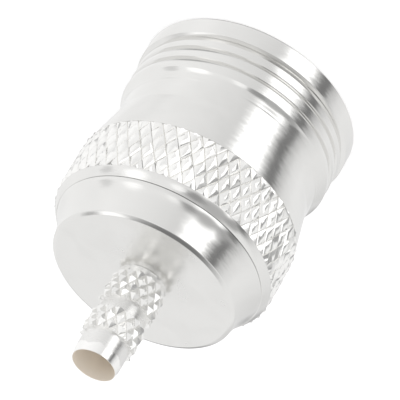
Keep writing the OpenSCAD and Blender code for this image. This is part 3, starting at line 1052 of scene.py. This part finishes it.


# Nickel's colours where it is clean, smudged, and darkened by painted shade in its corners: as
# turned smooth, and as a lighter copy that paints light onto the knurls
NICKEL = ((0.84, 0.835, 0.82), (0.82, 0.815, 0.8), (0.45, 0.44, 0.42))
PAINTED_LIGHT_NICKEL = ((0.99, 0.985, 0.97), (0.95, 0.945, 0.93), (0.5, 0.49, 0.47))

# The third colour of each plated metal is the painted shade in its concave corners.
bright_nickel = plated_metal("bright_nickel", *NICKEL, 0.13, 9.0, 0.0006)
body_nickel = plated_metal("body_nickel", *NICKEL, 0.14, 7.0, 0.0006)
faced_nickel = plated_metal("faced_nickel", *NICKEL, 0.24, 7.0, 0.0006)
stem_nickel = plated_metal(
    "stem_nickel", (0.86, 0.855, 0.84), (0.81, 0.805, 0.79), (0.45, 0.44, 0.42), 0.28, 7.0, 0.0006
)
# Painted light: the knurls take a lighter copy of the nickel, and the crystals a partly non-metal
# one, so their facets render lighter than the turned nickel.
knurl_nickel_painted_light = plated_metal("knurl_nickel_painted_light", *PAINTED_LIGHT_NICKEL, 0.24, 7.0, 0.0006)
crystal_nickel_painted_light = plated_metal("crystal_nickel_painted_light", *PAINTED_LIGHT_NICKEL, 0.2, 7.0, 0.0006, metallic=0.8)
# Painted highlight: the stem's tip takes a brighter, glossier copy of the nickel.
tip_painted_highlight = plated_metal(
    "tip_painted_highlight", (1.0, 0.995, 0.98), (0.97, 0.965, 0.95), (0.5, 0.49, 0.47), 0.12, 7.0, 0.0006
)
# Painted light: pale, nearly non-metal brass lightens the bore, which lies in shade.
bore_brass_painted_light = raw_brass("bore_brass_painted_light", (0.90, 0.83, 0.74), (0.86, 0.79, 0.69))
contact_nickel = plated_metal(
    "contact_nickel", (0.82, 0.80, 0.76), (0.76, 0.74, 0.70), (0.4, 0.38, 0.35), 0.2, 8.0, 0.001
)
spring_steel = plated_metal(
    "spring_steel", (0.62, 0.61, 0.60), (0.55, 0.54, 0.53), (0.3, 0.28, 0.26), 0.28, 5.0, 0.002
)
contact_gold = plated_metal(
    "contact_gold", (0.95, 0.73, 0.36), (0.90, 0.67, 0.31), (0.5, 0.33, 0.12), 0.17, 10.0, 0.0008
)
white_insulator = moulded_plastic("white_insulator", (0.86, 0.86, 0.84), (0.82, 0.82, 0.80), 0.38)
red_silicone = rubber("red_silicone", (0.42, 0.09, 0.05), (0.48, 0.15, 0.1))

nut_parts = [turned("nut_turned", nut_corners(), BIG_TURN, 20), nut_knurl(), nut_thread()]
nut_shell = join(nut_parts, "nut_shell")
dress(nut_shell, bright_nickel, "nut", "coupling_nut")
finish_faces(nut_shell, knurl_nickel_painted_light, on_nut_knurl)

body_parts = [
    turned("body_turned", body_corners(), BIG_TURN),
    stem_knurl("root_knurl", ROOT_KNURL, 4),
    stem_knurl("tip_knurl", TIP_KNURL, 3),
]
body_shell = join(body_parts, "body_shell")
dress(body_shell, body_nickel, "plug_body", "connector_body")
finish_faces(body_shell, faced_nickel, on_rear_face)
finish_faces(body_shell, stem_nickel, on_stem)
finish_faces(body_shell, crystal_nickel_painted_light, on_crystals)
finish_faces(body_shell, tip_painted_highlight, on_tip_scallops)
finish_faces(body_shell, bore_brass_painted_light, in_stem_bore)

dress(sleeve_contact(), contact_nickel, "plug_body", "outer_contact")
dress(pin_contact(), contact_gold, "plug_body", "centre_contact")
dress(front_insulator(), white_insulator, "plug_body", "front_insulator")
dress(rear_insulator(), white_insulator, "plug_body", "rear_insulator")
dress(seal_ring(), red_silicone, "plug_body", "gasket")
dress(snap_ring(), spring_steel, "plug_body", "retaining_ring")


# ---------------------------------------------------------------- floor and studio

def pale_floor():
    """A plain pale floor under the plug: it takes the shadow and bounces no light back."""
    start_clean()
    bpy.ops.mesh.primitive_grid_add(x_subdivisions=4, y_subdivisions=4, size=6.0)
    floor = name_piece("floor")
    material, tree, surface = new_material("pale_paper")
    place = add(tree, "ShaderNodeTexCoord")
    fibre = add(tree, "ShaderNodeTexNoise")
    fibre.inputs["Scale"].default_value = 900
    fibre.inputs["Detail"].default_value = 3
    tree.links.new(place.outputs["Object"], fibre.inputs["Vector"])
    paper = ramp_node(tree, fibre.outputs["Fac"], [(0.3, 0.955), (0.7, 0.965)])
    tree.links.new(paper, surface.inputs["Base Color"])
    surface.inputs["Roughness"].default_value = 1.0
    surface.inputs["Specular IOR Level"].default_value = 0.0
    path = add(tree, "ShaderNodeLightPath")
    glow = math_node(tree, "MULTIPLY", path.outputs["Is Camera Ray"], 0.32)
    surface.inputs["Emission Color"].default_value = (1, 1, 1, 1)
    tree.links.new(glow, surface.inputs["Emission Strength"])
    shape = add(tree, "ShaderNodeNewGeometry")
    clear = add(tree, "ShaderNodeBsdfTransparent")
    either = add(tree, "ShaderNodeMixShader")
    tree.links.new(shape.outputs["Backfacing"], either.inputs[0])
    tree.links.new(surface.outputs[0], either.inputs[1])
    tree.links.new(clear.outputs[0], either.inputs[2])
    tree.links.new(either.outputs[0], tree.nodes["Material Output"].inputs["Surface"])
    floor.data.materials.append(material)
    floor.visible_glossy = False
    floor.visible_diffuse = False
    floor.visible_transmission = False
    floor.visible_shadow = False


WALLS_CENTRE = 0.829  # how far behind the plug the walls' centre is, on a room of radius 1
REAR_TONE = 0.90
REAR_BLEND = (0.12, 0.45)  # distances from that centre over which the walls take over
CEILING_TONE = 0.93
CEILING_BLEND = (0.26, 0.42)  # heights over which the ceiling takes over

# Tones of the studio's walls, by the angle at which they stand around their centre (0 is the
# front, positive to the left): a tall white panel with a dark one beside it.
STUDIO_WALLS = [
    (-90, 0.94),
    (-75, 0.99),
    (-60, 0.97),
    (-40, 1.00),
    (-25, 0.93),
    (-15, 0.88),
    (-5, 0.82),
    (1, 0.76),
    (4, 0.95),
    (7, 1.50),
    (20, 1.50),
    (23, 0.75),
    (27, 0.22),
    (31, 0.20),
    (35, 0.60),
    (41, 0.84),
    (50, 0.93),
    (65, 0.88),
    (80, 0.78),
    (90, 0.76),
]

# Soft lights and dark places on the studio's ceiling and floor:
# (turn from the front to the left, height, inner radius, outer radius, tone), in degrees
STUDIO_SPOTS = [
    (130, 84, 4, 33, 0.20),
    (15, 42, 8, 32, 0.62),
    (25, 27, 8, 18, 0.50),
    (3, 28, 4, 12, 0.34),
    (46, 23, 4, 12, 0.42),
    (-60, 25, 5, 15, 1.30),
    (-15, 29, 3, 9, 1.15),
    (-87, 12, 3, 9, 0.74),
    (-123, 58, 5, 11, 1.30),
    (-131, 45, 2, 8, 0.50),
    (-150, -72, 12, 31, 0.45),
    (-116, -66, 8, 19, 0.36),
    (170, -14, 5, 20, 0.40),
]


def blend_values(tree, share, first, second):
    """A number between two others, by a share."""
    node = add(tree, "ShaderNodeMix", data_type="FLOAT")
    for socket, value in zip(node.inputs[:1] + node.inputs[2:4], (share, first, second)):
        if isinstance(value, (int, float)):
            socket.default_value = value
        else:
            tree.links.new(value, socket)
    return node.outputs[0]


def ease(tree, value, low, high):
    """A smooth step of a number from low to high."""
    node = add(tree, "ShaderNodeMapRange", interpolation_type="SMOOTHSTEP")
    node.inputs["From Min"].default_value = low
    node.inputs["From Max"].default_value = high
    tree.links.new(value, node.inputs["Value"])
    return node.outputs[0]


def studio_tones(tree):
    """The studio's tone in each direction."""
    place = add(tree, "ShaderNodeTexCoord")
    split = add(tree, "ShaderNodeSeparateXYZ")
    tree.links.new(place.outputs["Generated"], split.inputs[0])
    left = math_node(tree, "MULTIPLY", split.outputs["X"], -1)
    near = math_node(tree, "SUBTRACT", WALLS_CENTRE, split.outputs["Y"])
    turn = math_node(tree, "ARCTAN2", left, near)
    share = math_node(tree, "MULTIPLY_ADD", turn, 1 / math.pi)
    share.node.inputs[2].default_value = 0.5
    walls = ramp_node(tree, share, [(angle / 180 + 0.5, tone) for angle, tone in STUDIO_WALLS])
    reach = add(tree, "ShaderNodeCombineXYZ")
    tree.links.new(left, reach.inputs["X"])
    tree.links.new(near, reach.inputs["Y"])
    far = add(tree, "ShaderNodeVectorMath", operation="LENGTH")
    tree.links.new(reach.outputs[0], far.inputs[0])
    tone = blend_values(tree, ease(tree, far.outputs["Value"], *REAR_BLEND), REAR_TONE, walls)
    tone = blend_values(tree, ease(tree, split.outputs["Z"], *CEILING_BLEND), tone, CEILING_TONE)
    for turned_by, height, inner, outer, spot_tone in STUDIO_SPOTS:
        flat = math.cos(math.radians(height))
        across = math.radians(turned_by)
        centre = (-flat * math.sin(across), -flat * math.cos(across), math.sin(math.radians(height)))
        facing = add(tree, "ShaderNodeVectorMath", operation="DOT_PRODUCT")
        facing.inputs[1].default_value = centre
        tree.links.new(place.outputs["Generated"], facing.inputs[0])
        edge, core = math.cos(math.radians(outer)), math.cos(math.radians(inner))
        mask = ease(tree, facing.outputs["Value"], edge, core)
        tone = blend_values(tree, mask, tone, spot_tone)
    return tone


def studio_world():
    """Soft studio light from all round, with white and dark panels to draw the metal."""
    world = bpy.data.worlds.new("studio")
    bpy.context.scene.world = world
    world.use_nodes = True
    tree = world.node_tree
    tree.nodes.clear()
    room = add(tree, "ShaderNodeBackground")
    tree.links.new(studio_tones(tree), room.inputs["Color"])
    white = add(tree, "ShaderNodeBackground")
    white.inputs["Color"].default_value = (1, 1, 1, 1)
    path = add(tree, "ShaderNodeLightPath")
    either = add(tree, "ShaderNodeMixShader")
    tree.links.new(path.outputs["Is Camera Ray"], either.inputs[0])
    tree.links.new(room.outputs[0], either.inputs[1])
    tree.links.new(white.outputs[0], either.inputs[2])
    out = add(tree, "ShaderNodeOutputWorld")
    tree.links.new(either.outputs[0], out.inputs["Surface"])


def add_camera():
    """Long lens from the front, 34 degrees up, rolled so that the stem points down and left."""
    camera = bpy.data.objects.new("camera", bpy.data.cameras.new("camera"))
    bpy.context.collection.objects.link(camera)
    camera.data.sensor_width = 36
    camera.data.lens = 354.3
    camera.data.clip_start = 0.01
    camera.data.clip_end = 20
    elevation = math.radians(33.993)
    roll = math.radians(-149.66)
    turn = Euler((math.pi / 2 - elevation, 0, 0)).to_matrix() @ Matrix.Rotation(roll, 3, "Z")
    aim = Vector((-0.708, 0, 11.956)) * MM
    camera.rotation_euler = turn.to_euler()
    distance = 343.3 * MM
    camera.location = aim + turn @ Vector((0, 0, distance))
    bpy.context.scene.camera = camera


def soft_lamp(name, place, aim, size, power):
    data = bpy.data.lights.new(name, "AREA")
    data.shape = "DISK"
    data.size = size
    data.energy = power
    lamp = bpy.data.objects.new(name, data)
    bpy.context.collection.objects.link(lamp)
    lamp.location = place
    lamp.rotation_euler = (Vector(aim) - Vector(place)).to_track_quat("-Z", "Y").to_euler()
    lamp.visible_glossy = False


pale_floor()
studio_world()
add_camera()
soft_lamp("key", (-0.5, -0.5, 0.8), (0, 0, 0.015), 0.5, 1.6)
bpy.context.scene.view_settings.view_transform = "Standard"
